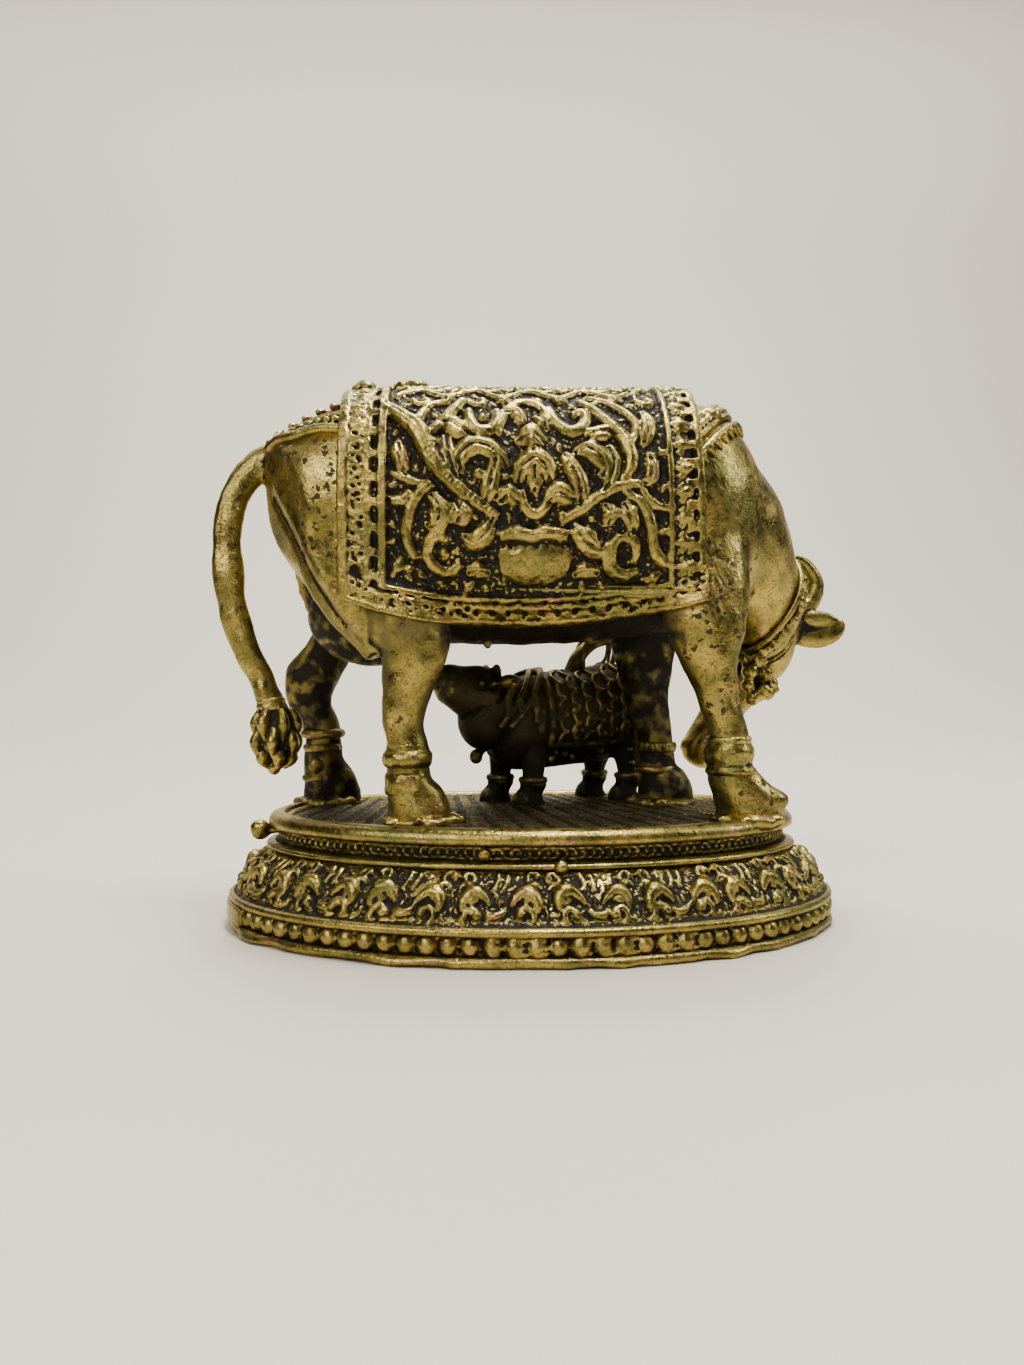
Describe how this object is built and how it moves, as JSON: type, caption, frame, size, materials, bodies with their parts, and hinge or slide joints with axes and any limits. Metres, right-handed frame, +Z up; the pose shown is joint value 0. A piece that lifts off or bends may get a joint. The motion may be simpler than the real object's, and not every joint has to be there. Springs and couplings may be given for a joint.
{
  "type": "cow and calf statue",
  "caption": "Small brass statue of a garlanded cow in a saddle cloth, her head turned back to the calf that feeds beneath her, on an oval moulded plinth.",
  "frame": {"origin": "centre of the plinth's flat underside", "axes": "+X along the plinth's long axis, the way the cow faces; +Y to the cow's left, the side her head turns to; +Z up"},
  "size_m": [0.0644, 0.0402, 0.0503],
  "materials": {
    "brass": "antiqued cast brass, dark brown patina in the hollows and rubbed bright on the high places"
  },
  "bodies": {
    "root": {"cow_and_calf_casting": "brass"}
  },
  "joints": []
}
